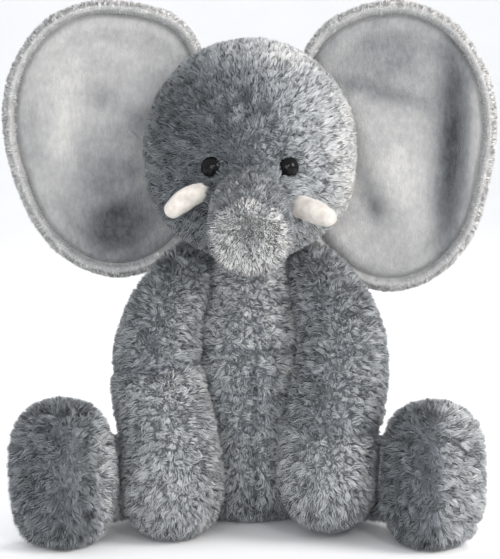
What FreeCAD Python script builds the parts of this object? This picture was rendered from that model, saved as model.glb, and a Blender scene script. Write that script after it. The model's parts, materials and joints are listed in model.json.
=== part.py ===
"""A stuffed elephant that sits with its legs splayed and its arms hanging in front.

It is an assembly of sewn pieces: plush skins, the stuffing inside them, ears of three layers, tusks, a trunk
with its own end panel, safety eyes with their lock washers, a neck gather stitch, a pellet bag and a tail.

Frame, in millimetres: +Z up, the toy faces -Y, its own left side is +X. The origin is on the floor, under the
middle of the toy. Every size and place comes from the spreadsheet "dims".
"""

import FreeCAD, Part
import math
import os
import Sketcher

DIMS = {
    # How the toy is put together
    "skin_thick": 2.5,          # plush backing with the dense part of its pile
    "stuffing_gap": 0.3,        # between a skin and the stuffing it holds
    "joint_gap": 0.6,           # between a limb's rounded end and the pocket it turns in
    # Torso, a pear with a flat seat and a domed neck
    "torso_y": 25.5,
    "torso_tall": 138.0,        # the floor to the middle of the neck's dome
    "torso_girth": 46.5,        # its largest radius
    "neck_y": 19.5,
    "neck_dome": 24.0,
    "neck_ring_away": 25.4,     # from the middle of the dome to the gather stitch
    "neck_ring_spread": 19.0,
    "neck_thread": 1.0,
    "neck_room": 2.8,           # the dome's clearance from the head, which the stitch lies in
    "bag_wide": 22.0,
    "bag_high": 14.0,
    "bag_z": 22.0,
    # Head
    "head_y": 11.5,
    "head_z": 213.5,
    "head_wide": 58.0,
    "head_deep": 54.0,
    "head_high": 60.0,
    # Trunk
    "trunk_y": -35.5,
    "trunk_z": 188.0,
    "trunk_thick": 21.0,
    "trunk_reach": 54.0,
    "trunk_droop": 12.5,
    "trunk_panel": 16.5,
    "trunk_panel_thick": 2.4,
    # Eyes, 12 mm safety eyes
    "eye_x": 21.2,
    "eye_z": 208.5,
    "eye_yaw": 20.0,
    "eye_dome": 6.0,
    "eye_proud": 4.2,
    "eye_shank": 1.8,
    "eye_shank_length": 14.0,
    "washer_wide": 6.0,
    "washer_thick": 1.6,
    "washer_depth": 3.6,
    # Tusks
    "tusk_x": 34.5,
    "tusk_y": -26.5,
    "tusk_left_z": 184.5,
    "tusk_right_z": 190.5,
    "tusk_yaw": 16.0,
    "tusk_length": 27.0,
    "tusk_root": 7.5,
    "tusk_tip": 6.3,
    "tusk_skin": 1.2,
    # Ears
    "ear_hinge_x": 50.0,
    "ear_hinge_y": 25.5,
    "ear_yaw": 8.0,
    "ear_out": 32.0,            # from the hinge to the middle of the ear
    "ear_wide": 59.0,
    "ear_left_z": 220.0,
    "ear_left_high": 78.0,
    "ear_right_z": 220.5,
    "ear_right_high": 77.5,
    "ear_thick": 12.0,
    "ear_rim": 9.0,
    "ear_back_thick": 5.0,
    "ear_lining_thick": 2.6,
    "ear_lining_sunk": 1.0,
    "ear_turn": 25.0,
    "ear_root_gap": 1.0,
    # Arms
    "shoulder_x": 36.0,
    "shoulder_y": 15.5,
    "shoulder_z": 143.0,
    "shoulder_ball": 16.0,
    "arm_thick": 25.0,
    "arm_right_lift": 0.0,      # the right paw lies on the floor
    "arm_left_lift": 8.0,       # the left paw is held up by the thigh
    # Legs
    "hip_x": 46.5,
    "hip_y": 16.5,
    "hip_z": 26.5,
    "leg_thick": 20.0,
    "leg_length": 90.0,         # hip to the middle of the foot
    "leg_left_yaw": 37.0,
    "leg_right_yaw": 38.0,
    "foot_left_yaw": 45.0,
    "foot_right_yaw": 33.0,
    "foot_wide": 51.0,
    "foot_long": 44.0,
    "foot_high": 78.0,
    "foot_round": 18.0,
    "sole_wide": 19.0,
    "sole_high": 30.0,
    "sole_thick": 2.4,
    "thigh_flat": 11.0,         # the thigh is pressed flat this far from its middle, where the paw lies on it
    "paw_gap": 1.6,
    "cuff_z": 61.0,             # the seam between the arm and its paw
    # Tail
    "tail_y": 72.5,
    "tail_z": 46.0,
    "tail_thick": 3.6,
    "tail_length": 24.0,
    "tail_slope": 28.0,
    "tail_pocket_round": 6.6,
    "tuft_wide": 7.0,
    "tuft_high": 11.0,
}

FAR = 400.0  # longer than the toy, for tools that only have to reach past it

doc = FreeCAD.newDocument("elephant")
sheet = doc.addObject("Spreadsheet::Sheet", "dims")
for row, (alias, value) in enumerate(DIMS.items(), start=1):
    sheet.set(f"A{row}", alias)
    sheet.set(f"B{row}", str(value))
    sheet.setAlias(f"B{row}", alias)
doc.recompute()


def dim(alias):
    """The value of a spreadsheet cell, in millimetres or degrees."""
    return float(sheet.get(alias))


def bind(feature, **sizes):
    """Ties properties to expressions, where a word in an expression is a cell of the sheet."""
    for name, expression in sizes.items():
        feature.setExpression(name.replace("__", "."), in_sheet(expression))


def in_sheet(expression):
    """Puts the sheet's name before each of its cells' aliases."""
    words = str(expression).split(" ")
    return " ".join(f"dims.{word}" if word in DIMS else word for word in words)


def place(feature, spot, turns=()):
    """Puts a feature at a spot, after turning it by each (axis, degrees) in turn."""
    rotation = FreeCAD.Rotation()
    for axis, degrees in turns:
        rotation = FreeCAD.Rotation(FreeCAD.Vector(*axis), degrees).multiply(rotation)
    feature.Placement = FreeCAD.Placement(FreeCAD.Vector(*spot), rotation)
    return feature


def sphere(name, radius, spot):
    ball = doc.addObject("Part::Sphere", name)
    bind(ball, Radius=radius)
    return place(ball, spot)


def ellipsoid(name, wide, deep, high, spot, turns=()):
    egg = doc.addObject("Part::Ellipsoid", name)
    bind(egg, Radius1=high, Radius2=wide, Radius3=deep)
    return place(egg, spot, turns)


def cylinder(name, radius, height, spot, turns=()):
    rod = doc.addObject("Part::Cylinder", name)
    bind(rod, Radius=radius, Height=height)
    return place(rod, spot, turns)


def cone(name, foot, top, height, spot, turns=()):
    taper = doc.addObject("Part::Cone", name)
    bind(taper, Radius1=foot, Radius2=top, Height=height)
    return place(taper, spot, turns)


def fused(name, *features):
    whole = doc.addObject("Part::MultiFuse", name)
    whole.Shapes = list(features)
    return whole


def cut(name, base, *tools):
    """The base without the tools, one after the other. The last feature has the sub-part's name."""
    result = base
    for number, tool in enumerate(tools, start=1):
        step = doc.addObject("Part::Cut", name if number == len(tools) else f"{name}_cut{number}")
        step.Base = result
        step.Tool = tool
        result = step
    return result


def origin_plane(body, role):
    return next(plane for plane in body.Origin.OriginFeatures if plane.Role == role)


def ring(body, name, height, radius, x="0", y="0"):
    """A circle in its own sketch, level with the body's XY plane and lifted above it."""
    sketch = body.newObject("Sketcher::SketchObject", name)
    sketch.AttachmentSupport = [(origin_plane(body, "XY_Plane"), "")]
    sketch.MapMode = "FlatFace"
    bind(sketch, AttachmentOffset__Base__z=height, AttachmentOffset__Base__x=x, AttachmentOffset__Base__y=y)
    sketch.addGeometry(Part.Circle(FreeCAD.Vector(0, 0, 0), FreeCAD.Vector(0, 0, 1), 10), False)
    sketch.addConstraint(Sketcher.Constraint("Coincident", 0, 3, -1, 1))
    sketch.addConstraint(Sketcher.Constraint("Radius", 0, 10))
    sketch.renameConstraint(1, "radius")
    bind(sketch, Constraints__radius=radius)
    return sketch


def lofted(name, rings, inset="0"):
    """A straight-sided loft through rings of (height, radius, x, y), all of it the inset smaller."""
    body = doc.addObject("PartDesign::Body", name)
    last = len(rings) - 1
    sketches = []
    for number, (height, radius, x, y) in enumerate(rings):
        ends = {0: f" + {inset}", last: f" - {inset}"}.get(number, "")
        sketches.append(
            ring(body, f"{name}_ring{number}", height + ends, f"{radius} - {inset}", x, y)
        )
    loft = body.newObject("PartDesign::AdditiveLoft", f"{name}_loft")
    loft.Profile = sketches[0]
    loft.Sections = sketches[1:]
    loft.Ruled = True
    body.Tip = loft
    return body


def plate(name, high, wide, thick, spot, yaw):
    """An upright oval plate: its face looks along -Y before the yaw, and it is thick towards +Y."""
    outline = doc.addObject("Part::Ellipse", f"{name}_outline")
    bind(outline, MajorRadius=high, MinorRadius=wide)
    place(outline, spot, [((1, 1, 1), 240), (UP, yaw)])
    solid = doc.addObject("Part::Extrusion", name)
    solid.Base = outline
    solid.DirMode = "Normal"
    solid.Solid = True
    bind(solid, LengthFwd=thick)
    return solid


def half_space(name, low, size, spot, yaw):
    """A box, in axes that are turned by the yaw about a spot, that cuts away what is pressed flat."""
    box = doc.addObject("Part::Box", name)
    bind(box, Length=str(size[0]), Width=str(size[1]), Height=str(size[2]))
    corner = FreeCAD.Rotation(FreeCAD.Vector(*UP), yaw).multVec(FreeCAD.Vector(*low))
    return place(box, FreeCAD.Vector(*spot) + corner, [(UP, yaw)])


def disc(name, radius, hole, thick):
    """A flat ring, or a disc where the hole is None, padded up from a sketch."""
    body = doc.addObject("PartDesign::Body", name)
    sketch = ring(body, f"{name}_sketch", "0", radius)
    if hole is not None:
        sketch.addGeometry(Part.Circle(FreeCAD.Vector(0, 0, 0), FreeCAD.Vector(0, 0, 1), 1), False)
        sketch.addConstraint(Sketcher.Constraint("Coincident", 1, 3, -1, 1))
        sketch.addConstraint(Sketcher.Constraint("Radius", 1, 1))
        sketch.renameConstraint(3, "hole")
        bind(sketch, Constraints__hole=hole)
    pad = body.newObject("PartDesign::Pad", f"{name}_pad")
    pad.Profile = sketch
    bind(pad, Length=thick)
    body.Tip = pad
    return body


def block(name, wide, long, high, rounding):
    """A box that stands on its XY plane, centred on its origin, with every edge rounded."""
    body = doc.addObject("PartDesign::Body", name)
    sketch = body.newObject("Sketcher::SketchObject", f"{name}_sketch")
    sketch.AttachmentSupport = [(origin_plane(body, "XY_Plane"), "")]
    sketch.MapMode = "FlatFace"
    corners = [(-10, -10), (10, -10), (10, 10), (-10, 10)]
    for start, end in zip(corners, corners[1:] + corners[:1]):
        sketch.addGeometry(Part.LineSegment(FreeCAD.Vector(*start, 0), FreeCAD.Vector(*end, 0)), False)
    for side in range(4):
        sketch.addConstraint(Sketcher.Constraint("Coincident", side, 2, (side + 1) % 4, 1))
        sketch.addConstraint(Sketcher.Constraint(("Horizontal", "Vertical")[side % 2], side))
    sketch.addConstraint(Sketcher.Constraint("Symmetric", 0, 1, 1, 2, -1, 1))
    sketch.addConstraint(Sketcher.Constraint("DistanceX", 0, 1, 0, 2, 20))
    sketch.addConstraint(Sketcher.Constraint("DistanceY", 1, 1, 1, 2, 20))
    sketch.renameConstraint(9, "wide")
    sketch.renameConstraint(10, "long")
    bind(sketch, Constraints__wide=wide, Constraints__long=long)
    pad = body.newObject("PartDesign::Pad", f"{name}_pad")
    pad.Profile = sketch
    bind(pad, Length=high)
    doc.recompute()
    fillet = body.newObject("PartDesign::Fillet", f"{name}_fillet")
    fillet.Base = (pad, [f"Edge{number}" for number in range(1, len(pad.Shape.Edges) + 1)])
    bind(fillet, Radius=rounding)
    body.Tip = fillet
    return body


UP = (0, 0, 1)
ACROSS = (1, 0, 0)
SIDES = {"left": 1, "right": -1}
SKIN = "skin_thick"
CORE = "( skin_thick + stuffing_gap )"
INSETS = {"outer": "0", "inner": SKIN, "core": CORE}  # the layers of a limb, from the outside in
nodes = {}


def depth(inset):
    """How far in a layer of INSETS lies, in millimetres."""
    return {"0": 0, SKIN: dim("skin_thick"), CORE: dim("skin_thick") + dim("stuffing_gap")}[inset]


def keep(name, feature):
    """Gives a finished sub-part its node name."""
    feature.Label = name
    nodes[name] = feature
    return feature


def bearing(side, yaw):
    """The level unit vector that is turned from straight ahead towards a side of the toy."""
    angle = math.radians(dim(yaw))
    return FreeCAD.Vector(SIDES[side] * math.sin(angle), -math.cos(angle), 0)


# ---- Torso -------------------------------------------------------------------------------------------

# Height as a share of torso_tall, radius as a share of torso_girth, and the middle's distance in front of
# torso_y. The rings above the last one follow the neck's dome.
TORSO_RINGS = [
    (0.0, 0.78, 0), (0.07, 0.94, 0), (0.2, 1.0, 0), (0.38, 0.98, 1), (0.56, 0.89, 2.5), (0.74, 0.75, 4),
    (0.89, 0.6, 5.3),
]
DOME_ANGLES = (0, 20, 40, 58, 73)


def dome(height, radius, angles=DOME_ANGLES):
    """(height, radius) expressions of rings that lie on a ball, from its equator up."""
    for angle in angles:
        up, out = math.sin(math.radians(angle)), math.cos(math.radians(angle))
        yield f"{height} + {radius} * {up:.4f}", f"{radius} * {out:.4f}"


def torso_rings():
    rings = [
        (f"torso_tall * {high}", f"torso_girth * {wide}", "0", str(-ahead))
        for high, wide, ahead in TORSO_RINGS
    ]
    for height, radius in dome("torso_tall", "neck_dome"):
        rings.append((height, radius, "0", "neck_y - torso_y"))
    return rings


def hip(side):
    return FreeCAD.Vector(SIDES[side] * dim("hip_x"), dim("hip_y"), dim("hip_z"))


def shoulder(side):
    return FreeCAD.Vector(SIDES[side] * dim("shoulder_x"), dim("shoulder_y"), dim("shoulder_z"))


def along_leg(side):
    """Turns that lay a feature's Z axis level, along a leg."""
    return [(ACROSS, 90), (UP, SIDES[side] * dim(f"leg_{side}_yaw"))]


def torso():
    seat = (0, dim("torso_y"), 0)
    outer = place(lofted("torso_outer", torso_rings()), seat)
    inner = place(lofted("torso_inner", torso_rings(), SKIN), seat)
    core = place(lofted("torso_core", torso_rings(), CORE), seat)
    pockets = []
    for side in SIDES:
        pockets.append(sphere(f"shoulder_pocket_{side}", "shoulder_ball + joint_gap", shoulder(side)))
        pockets.append(sphere(f"hip_pocket_{side}", "leg_thick + joint_gap + 0.4", hip(side)))
        pockets.append(
            cylinder(
                f"thigh_pocket_{side}", "leg_thick + joint_gap", "leg_length / 2", hip(side), along_leg(side)
            )
        )
    tail_root = (0, dim("tail_y"), dim("tail_z"))
    pockets.append(sphere("tail_pocket", "tail_pocket_round", tail_root))
    bag_middle = (0, dim("torso_y"), dim("bag_z"))
    bag = ellipsoid("seat_pellet_bag", "bag_wide", "bag_wide", "bag_high", bag_middle)
    bag_room = ellipsoid(
        "bag_room", "bag_wide + stuffing_gap", "bag_wide + stuffing_gap", "bag_high + stuffing_gap", bag_middle
    )
    keep("torso_skin", cut("torso_skin", outer, inner, *pockets))
    keep("torso_stuffing", cut("torso_stuffing", core, bag_room, *pockets))
    keep("seat_pellet_bag", bag)


def neck_stitch():
    stitch = doc.addObject("Part::Torus", "neck_stitch")
    bind(stitch, Radius1="neck_ring_spread", Radius2="neck_thread")
    rise = math.sqrt(dim("neck_ring_away") ** 2 - dim("neck_ring_spread") ** 2)
    place(stitch, (0, dim("neck_y"), dim("torso_tall") + rise))
    keep("neck_stitch", stitch)


# ---- Head, eyes and tusks ----------------------------------------------------------------------------


def head_egg(name, larger):
    """The head's ellipsoid, larger all round by an expression."""
    sizes = [f"{size} + {larger}" for size in ("head_wide", "head_deep", "head_high")]
    return ellipsoid(name, *sizes, (0, dim("head_y"), dim("head_z")))


def eye_seat(side):
    """Where an eye's dome meets the head, and the turns that point a feature's Z axis out of it."""
    across, up = dim("eye_x") / dim("head_wide"), (dim("eye_z") - dim("head_z")) / dim("head_high")
    front = dim("head_y") - dim("head_deep") * math.sqrt(1 - across**2 - up**2)
    seat = FreeCAD.Vector(SIDES[side] * dim("eye_x"), front, dim("eye_z"))
    return seat, [(ACROSS, 90), (UP, SIDES[side] * dim("eye_yaw"))]


def eye(side):
    """A domed button on a shank, turned about its own axis from a half profile."""
    name = f"eye_{side}"
    body = doc.addObject("PartDesign::Body", name)
    sketch = body.newObject("Sketcher::SketchObject", f"{name}_profile")
    sketch.AttachmentSupport = [(origin_plane(body, "XZ_Plane"), "")]
    sketch.MapMode = "FlatFace"
    shank, length, wide, proud = 1.8, 14.0, 6.0, 4.2
    middle = length + (proud**2 - wide**2) / (2 * proud)
    corners = [(0, 0), (shank, 0), (shank, length), (wide, length)]
    for start, end in zip(corners, corners[1:]):
        sketch.addGeometry(Part.LineSegment(FreeCAD.Vector(*start, 0), FreeCAD.Vector(*end, 0)), False)
    circle = Part.Circle(FreeCAD.Vector(0, middle, 0), FreeCAD.Vector(0, 0, 1), length + proud - middle)
    start_angle = math.atan2(length - middle, wide)
    sketch.addGeometry(Part.ArcOfCircle(circle, start_angle, math.pi / 2), False)
    top = FreeCAD.Vector(0, length + proud, 0)
    sketch.addGeometry(Part.LineSegment(top, FreeCAD.Vector(0, 0, 0)), False)
    joins = [(0, 2, 1, 1), (1, 2, 2, 1), (2, 2, 3, 1), (3, 2, 4, 1), (4, 2, 0, 1)]
    for join in joins:
        sketch.addConstraint(Sketcher.Constraint("Coincident", *join))
    sketch.addConstraint(Sketcher.Constraint("Coincident", 0, 1, -1, 1))
    for line, way in ((0, "Horizontal"), (1, "Vertical"), (2, "Horizontal"), (4, "Vertical")):
        sketch.addConstraint(Sketcher.Constraint(way, line))
    sketch.addConstraint(Sketcher.Constraint("PointOnObject", 3, 3, -2))
    sizes = {
        "shank": ("DistanceX", (-1, 1, 0, 2, shank), "eye_shank"),
        "length": ("DistanceY", (-1, 1, 1, 2, length), "eye_shank_length"),
        "wide": ("DistanceX", (-1, 1, 2, 2, wide), "eye_dome"),
        "tall": ("DistanceY", (-1, 1, 3, 2, length + proud), "eye_shank_length + eye_proud"),
    }
    for label, (kind, target, expression) in sizes.items():
        number = sketch.addConstraint(Sketcher.Constraint(kind, *target))
        sketch.renameConstraint(number, label)
        bind(sketch, **{f"Constraints__{label}": expression})
    turn = body.newObject("PartDesign::Revolution", f"{name}_turn")
    turn.Profile = sketch
    turn.ReferenceAxis = (sketch, ["V_Axis"])
    turn.Angle = 360
    body.Tip = turn
    return body


def behind_eye(side, depth):
    """A spot on the eye's axis, the depth behind its seat."""
    seat, turns = eye_seat(side)
    yaw = math.radians(turns[1][1])
    return seat - FreeCAD.Vector(math.sin(yaw), -math.cos(yaw), 0) * depth


def tusk_solid(name, side, thinner):
    """A cone with a ball on its end, all of it thinner by an expression."""
    yaw = SIDES[side] * dim("tusk_yaw")
    root = FreeCAD.Vector(SIDES[side] * dim("tusk_x"), dim("tusk_y"), dim(f"tusk_{side}_z"))
    turns = [(ACROSS, 94), (UP, yaw)]
    stem = cone(
        f"{name}_cone", f"tusk_root - {thinner}", f"tusk_tip - {thinner}", "tusk_length", root, turns
    )
    tip = stem.Placement.multVec(FreeCAD.Vector(0, 0, dim("tusk_length")))
    return fused(name, stem, sphere(f"{name}_ball", f"tusk_tip - {thinner}", tip))


def head():
    outer = head_egg("head_outer", "0")
    seat_room = sphere("head_neck_room", "neck_dome + neck_room", (0, dim("neck_y"), dim("torso_tall")))
    trunk_room = sphere("head_trunk_room", "trunk_thick + joint_gap", (0, dim("trunk_y"), dim("trunk_z")))
    skin_tools = [head_egg("head_inner", "0 - skin_thick"), seat_room, trunk_room]
    core_tools = [seat_room, trunk_room]
    for side in SIDES:
        _, turns = eye_seat(side)
        shank_end = behind_eye(side, dim("eye_shank_length") + 1)
        hole = cylinder(f"shank_hole_{side}", "eye_shank + 0.2", "eye_shank_length + 4", shank_end, turns)
        room_end = behind_eye(side, dim("washer_depth") + dim("washer_thick") + 0.3)
        room = cylinder(f"washer_room_{side}", "washer_wide + 0.4", "washer_depth + 6", room_end, turns)
        skin_tools.append(hole)
        core_tools += [hole, room]
        button = eye(side)
        place(button, behind_eye(side, dim("eye_shank_length") - 0.5), turns)
        keep(f"eye_{side}", button)
        washer = disc(f"eye_washer_{side}", "washer_wide", "eye_shank + 0.15", "washer_thick")
        place(washer, behind_eye(side, dim("washer_depth") + dim("washer_thick")), turns)
        keep(f"eye_washer_{side}", washer)
        tusk_seat = head_egg(f"tusk_seat_{side}", "0.2")
        sleeve = tusk_solid(f"tusk_sleeve_{side}", side, "0")
        hollow = tusk_solid(f"tusk_hollow_{side}", side, "tusk_skin")
        filling = tusk_solid(f"tusk_filling_{side}", side, "tusk_skin - 0.2")
        keep(f"tusk_{side}", cut(f"tusk_{side}", sleeve, hollow, tusk_seat))
        keep(f"tusk_stuffing_{side}", cut(f"tusk_stuffing_{side}", filling, tusk_seat))
    keep("head_skin", cut("head_skin", outer, *skin_tools))
    keep("head_stuffing", cut("head_stuffing", head_egg("head_core", f"0 - {CORE}"), *core_tools))


# ---- Trunk -------------------------------------------------------------------------------------------

TRUNK_SHARES = [(0.3, 0.97), (0.6, 0.94), (0.85, 0.96)]


def trunk_rings():
    """A ball at the root, a stem, and an end that the panel closes."""
    rings = [("0 - trunk_thick * 0.95", "trunk_thick * 0.3", "0", "0")]
    for angle in (50, 25):
        down, out = math.sin(math.radians(angle)), math.cos(math.radians(angle))
        rings.append((f"0 - trunk_thick * {down:.4f}", f"trunk_thick * {out:.4f}", "0", "0"))
    rings.append(("0", "trunk_thick", "0", "0"))
    rings += [(f"trunk_reach * {far}", f"trunk_thick * {wide}", "0", "0") for far, wide in TRUNK_SHARES]
    rings.append(("trunk_reach", "trunk_panel + 0.6", "0", "0"))
    return rings


def trunk():
    root = (0, dim("trunk_y"), dim("trunk_z"))
    turns = [(ACROSS, 90 + dim("trunk_droop"))]
    outer = place(lofted("trunk_outer", trunk_rings()), root, turns)
    inner = place(lofted("trunk_inner", trunk_rings(), SKIN), root, turns)
    core = place(lofted("trunk_core", trunk_rings(), CORE), root, turns)
    panel = disc("trunk_end_panel", "trunk_panel", None, "trunk_panel_thick")
    panel_seat = outer.Placement.multVec(FreeCAD.Vector(0, 0, dim("trunk_reach") - dim("trunk_panel_thick")))
    place(panel, panel_seat, turns)
    mouth = cylinder("trunk_mouth", "trunk_panel + 0.2", "trunk_panel_thick + 1", panel_seat, turns)
    keep("trunk_skin", cut("trunk_skin", outer, inner, mouth))
    keep("trunk_stuffing", core)
    keep("trunk_end_panel", panel)


# ---- Ears --------------------------------------------------------------------------------------------


def ear(side):
    """A dish of long-pile plush that turns its rim forward round a velour lining, with wadding between."""
    yaw = math.radians(dim("ear_yaw"))
    hinge = FreeCAD.Vector(SIDES[side] * dim("ear_hinge_x"), dim("ear_hinge_y"), 0)
    outward = FreeCAD.Vector(SIDES[side] * math.cos(yaw), -math.sin(yaw), 0)
    backward = FreeCAD.Vector(SIDES[side] * math.sin(yaw), math.cos(yaw), 0)
    middle = hinge + outward * dim("ear_out") + FreeCAD.Vector(0, 0, dim(f"ear_{side}_z"))
    turned = -SIDES[side] * dim("ear_yaw")

    def layer(name, smaller, thick, depth):
        """A plate the ear's size, smaller by an expression, that starts at a depth behind the rim's front."""
        front = middle + backward * (depth - dim("ear_thick") / 2)
        high = f"ear_{side}_high - {smaller}"
        return plate(f"ear_{name}_{side}", high, f"ear_wide - {smaller}", thick, front, turned)

    dish_depth = dim("ear_thick") - dim("ear_back_thick")
    lining_end = dim("ear_lining_sunk") + dim("ear_lining_thick")
    solid = layer("solid", "0", "ear_thick", 0)
    hollow = layer("hollow", "ear_rim", "ear_thick - ear_back_thick + 1", -1)
    velour = layer("velour", "( ear_rim + 0.3 )", "ear_lining_thick", dim("ear_lining_sunk"))
    middle_thick = dish_depth - lining_end - 0.5
    batting = layer("batting", "( ear_rim + 0.4 )", str(middle_thick), lining_end + 0.25)
    head_middle = FreeCAD.Vector(0, dim("head_y"), dim("head_z"))
    head_room = []
    for number, share in enumerate((-1, -0.5, 0, 0.5, 1)):
        swing = share * dim("ear_turn")
        spot = hinge + FreeCAD.Rotation(FreeCAD.Vector(*UP), swing).multVec(head_middle - hinge)
        grown = [f"{size} + ear_root_gap" for size in ("head_wide", "head_deep", "head_high")]
        head_room.append(ellipsoid(f"ear_room_{side}_{number}", *grown, spot, [(UP, swing)]))
    room = fused(f"ear_room_{side}", *head_room)
    keep(f"ear_back_{side}", cut(f"ear_back_{side}", solid, hollow, room))
    keep(f"ear_lining_{side}", cut(f"ear_lining_{side}", velour, room))
    keep(f"ear_wadding_{side}", cut(f"ear_wadding_{side}", batting, room))


# ---- Arms --------------------------------------------------------------------------------------------

# Height as a share of the way from the paw's sole to the shoulder, radius as a share of arm_thick, and
# the middle's distance outside and in front of the shoulder.
ARM_RINGS = [
    (0.0, 0.4, 8, 56), (0.03, 0.7, 8, 56), (0.09, 0.9, 8, 56), (0.19, 1.0, 8, 55), (0.31, 1.0, 9, 51),
    (0.45, 0.96, 12, 44), (0.59, 0.92, 16, 35), (0.71, 0.88, 18, 27), (0.84, 0.77, 13.5, 16.5),
    (0.93, 0.66, 7.5, 8),
]


def arm_rings(side):
    lift = f"arm_{side}_lift"
    rings = [
        (f"{lift} + ( shoulder_z - {lift} ) * {up}", f"arm_thick * {wide}", str(SIDES[side] * out), str(-ahead))
        for up, wide, out, ahead in ARM_RINGS
    ]
    for height, radius in dome("shoulder_z", "shoulder_ball", (0, 30, 55, 72)):
        rings.append((height, radius, "0", "0"))
    return rings


def paw_flat(side, layer, inset):
    """What a layer of the paw leaves to the thigh that it lies against, up to just above the cuff's seam."""
    near = dim("thigh_flat") + dim("paw_gap") + inset
    low = (near - FAR, -FAR, 0) if side == "right" else (-near, -FAR, 0)
    high = dim("cuff_z") + 0.5 + inset
    yaw = SIDES[side] * dim(f"leg_{side}_yaw")
    return half_space(f"paw_flat_{layer}_{side}", low, (FAR, 2 * FAR, high + 1), (hip(side).x, hip(side).y, -1), yaw)


def arm(side):
    foot = (SIDES[side] * dim("shoulder_x"), dim("shoulder_y"), 0)
    layers = []
    for name, inset in INSETS.items():
        whole = place(lofted(f"arm_{name}_{side}", arm_rings(side), inset), foot)
        layers.append(cut(f"arm_{name}_pressed_{side}", whole, paw_flat(side, name, depth(inset))))
    outer, inner, core = layers
    sleeve = cut(f"arm_sleeve_{side}", outer, inner)
    below = half_space(f"below_cuff_{side}", (-FAR / 2, -FAR / 2, -FAR), (FAR, FAR, FAR), (0, 0, dim("cuff_z")), 0)
    above = half_space(f"above_cuff_{side}", (-FAR / 2, -FAR / 2, 0), (FAR, FAR, FAR), (0, 0, dim("cuff_z")), 0)
    keep(f"arm_skin_{side}", cut(f"arm_skin_{side}", sleeve, below))
    keep(f"paw_skin_{side}", cut(f"paw_skin_{side}", sleeve, above))
    keep(f"arm_stuffing_{side}", core)


# ---- Legs --------------------------------------------------------------------------------------------

# Distance along the leg as a share of leg_length, radius as a share of leg_thick, and the rise of the
# middle, which climbs towards the middle of the foot. The last ring is sewn into the back of the foot.
LEG_RINGS = [(0.0, 1.0, 0), (0.3, 1.02, 1), (0.55, 1.05, 4), (0.82, 1.1, 9)]


SOCKET_LONG = 14.0  # from where the thigh enters the foot's socket, or a little before, to its end


def leg_rings():
    rings = [("0 - leg_thick * 0.95", "leg_thick * 0.3", "0", "0")]
    for angle in (50, 25):
        back, out = math.sin(math.radians(angle)), math.cos(math.radians(angle))
        rings.append((f"0 - leg_thick * {back:.4f}", f"leg_thick * {out:.4f}", "0", "0"))
    rings += [
        (f"leg_length * {far}", f"leg_thick * {wide}", "0", str(rise)) for far, wide, rise in LEG_RINGS
    ]
    return rings


def foot_block(name, inset):
    size = [f"foot_{way} - 2 * {inset}" for way in ("wide", "long", "high")]
    return block(name, *size, f"foot_round - {inset}")


def leg(side):
    ankle = hip(side) + bearing(side, f"leg_{side}_yaw") * dim("leg_length")
    toe = bearing(side, f"foot_{side}_yaw")
    foot_yaw = SIDES[side] * dim(f"foot_{side}_yaw")
    leg_yaw = SIDES[side] * dim(f"leg_{side}_yaw")
    sewn_at, thick, rise = LEG_RINGS[-1]
    socket_start = hip(side) + bearing(side, f"leg_{side}_yaw") * (dim("leg_length") * sewn_at - SOCKET_LONG)
    socket_start.z += rise
    socket = cylinder(
        f"leg_socket_{side}", f"leg_thick * {thick} + 1.4", SOCKET_LONG + 0.6, socket_start, along_leg(side)
    )
    thighs, feet = [], []
    for name, inset in INSETS.items():
        tube = place(lofted(f"leg_{name}_tube_{side}", leg_rings(), inset), hip(side), along_leg(side))
        near = dim("thigh_flat") - depth(inset)
        low = (near, -FAR, 0) if side == "right" else (-near - FAR, -FAR, 0)
        size = (FAR, 2 * FAR, FAR)
        flat = half_space(f"thigh_flat_{name}_{side}", low, size, (hip(side).x, hip(side).y, 0), leg_yaw)
        thighs.append(cut(f"leg_{name}_thigh_{side}", tube, flat))
        foot = foot_block(f"leg_{name}_foot_{side}", inset)
        feet.append(place(foot, (ankle.x, ankle.y, depth(inset)), [(UP, foot_yaw)]))
    sole_spot = ankle + toe * (dim("foot_long") / 2)
    sole_spot.z = dim("foot_high") / 2
    sole = plate(f"foot_sole_{side}", "sole_high", "sole_wide", "sole_thick", sole_spot, foot_yaw)
    opening = plate(
        f"sole_opening_{side}", "sole_high + 0.2", "sole_wide + 0.2", "skin_thick + 1.5", sole_spot + toe, foot_yaw
    )
    keep(f"leg_skin_{side}", cut(f"leg_skin_{side}", thighs[0], thighs[1]))
    keep(f"leg_stuffing_{side}", thighs[2])
    keep(f"foot_skin_{side}", cut(f"foot_skin_{side}", feet[0], feet[1], socket, opening))
    keep(f"foot_stuffing_{side}", cut(f"foot_stuffing_{side}", feet[2], socket))
    keep(f"foot_sole_{side}", sole)


# ---- Tail --------------------------------------------------------------------------------------------


def tail():
    root = (0, dim("tail_y"), dim("tail_z"))
    turns = [(ACROSS, 180 + dim("tail_slope"))]
    stem = cylinder("tail_stem", "tail_thick * 0.9", "tail_length", root, turns)
    ball = sphere("tail_ball", "tail_thick", root)
    end = stem.Placement.multVec(FreeCAD.Vector(0, 0, dim("tail_length")))
    tuft = ellipsoid("tail_tuft_egg", "tuft_wide", "tuft_wide", "tuft_high", end, turns)
    socket = cylinder("tail_tuft_socket", "tail_thick * 0.9 + 0.1", "tail_length + 0.1", root, turns)
    keep("tail_strip", fused("tail_strip", stem, ball))
    keep("tail_tuft", cut("tail_tuft", tuft, socket))


# ---- The toy -----------------------------------------------------------------------------------------

torso()
neck_stitch()
head()
trunk()
tail()
for side in SIDES:
    ear(side)
    arm(side)
    leg(side)
doc.recompute()

for feature in doc.Objects:
    if {"Invalid", "Error"} & set(feature.State):
        raise RuntimeError(f"{feature.Label} failed to recompute: {feature.State}")

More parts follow.
